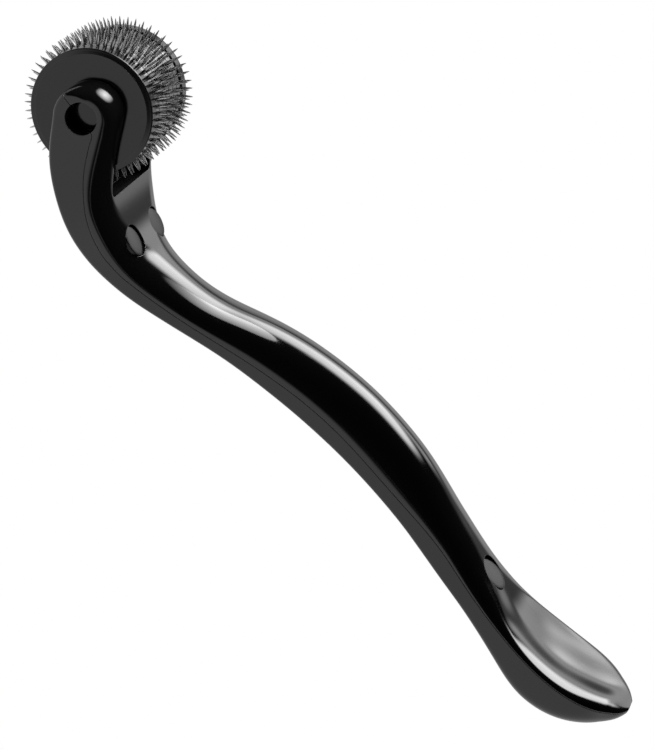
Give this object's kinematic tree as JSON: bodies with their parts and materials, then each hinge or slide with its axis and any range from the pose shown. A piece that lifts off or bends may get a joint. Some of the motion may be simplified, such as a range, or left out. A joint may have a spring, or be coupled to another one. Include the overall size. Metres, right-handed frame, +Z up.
{
  "type": "derma roller",
  "caption": "Hand-held needle roller: S-curved two-part gloss plastic handle with a fork at one end and a free-running drum of stacked needle discs.",
  "frame": {"origin": "on the table plane under the middle of the whole roller's bounding box, with the roller lying on the convex back of its handle", "axes": "+X from the drum to the tail, +Y along the drum axis, +Z up, out of the glossy front of the handle"},
  "size_m": [0.1394, 0.0262, 0.0307],
  "materials": {
    "shell_gloss": "high gloss black moulding",
    "shell_satin": "black moulding, slightly softer gloss",
    "drum_black": "black moulded drum parts",
    "needle_steel": "thin stamped stainless discs",
    "spacer_metal": "fine turned rings",
    "screw_steel": "zinc plated"
  },
  "bodies": {
    "handle": {"front_shell": "shell_gloss", "back_shell": "shell_satin", "neck_left_screw": "screw_steel", "neck_left_plug": "shell_gloss", "neck_right_screw": "screw_steel", "neck_right_plug": "shell_gloss", "tail_screw": "screw_steel", "tail_plug": "shell_gloss"},
    "drum": {"drum_core": "drum_black", "end_cap_near": "drum_black", "end_cap_far": "drum_black", "needle_disc_01": "needle_steel", "spacer_ring_01": "spacer_metal", "needle_disc_02": "needle_steel", "spacer_ring_02": "spacer_metal", "needle_disc_03": "needle_steel", "spacer_ring_03": "spacer_metal", "needle_disc_04": "needle_steel", "spacer_ring_04": "spacer_metal", "needle_disc_05": "needle_steel", "spacer_ring_05": "spacer_metal", "needle_disc_06": "needle_steel", "spacer_ring_06": "spacer_metal", "needle_disc_07": "needle_steel", "spacer_ring_07": "spacer_metal", "needle_disc_08": "needle_steel"}
  },
  "joints": [
    {"name": "drum_spin", "type": "hinge", "parent": "handle", "child": "drum", "pos_m": [-0.05786, 0, 0.01889], "axis": [0, 1, 0], "continuous": true}
  ]
}
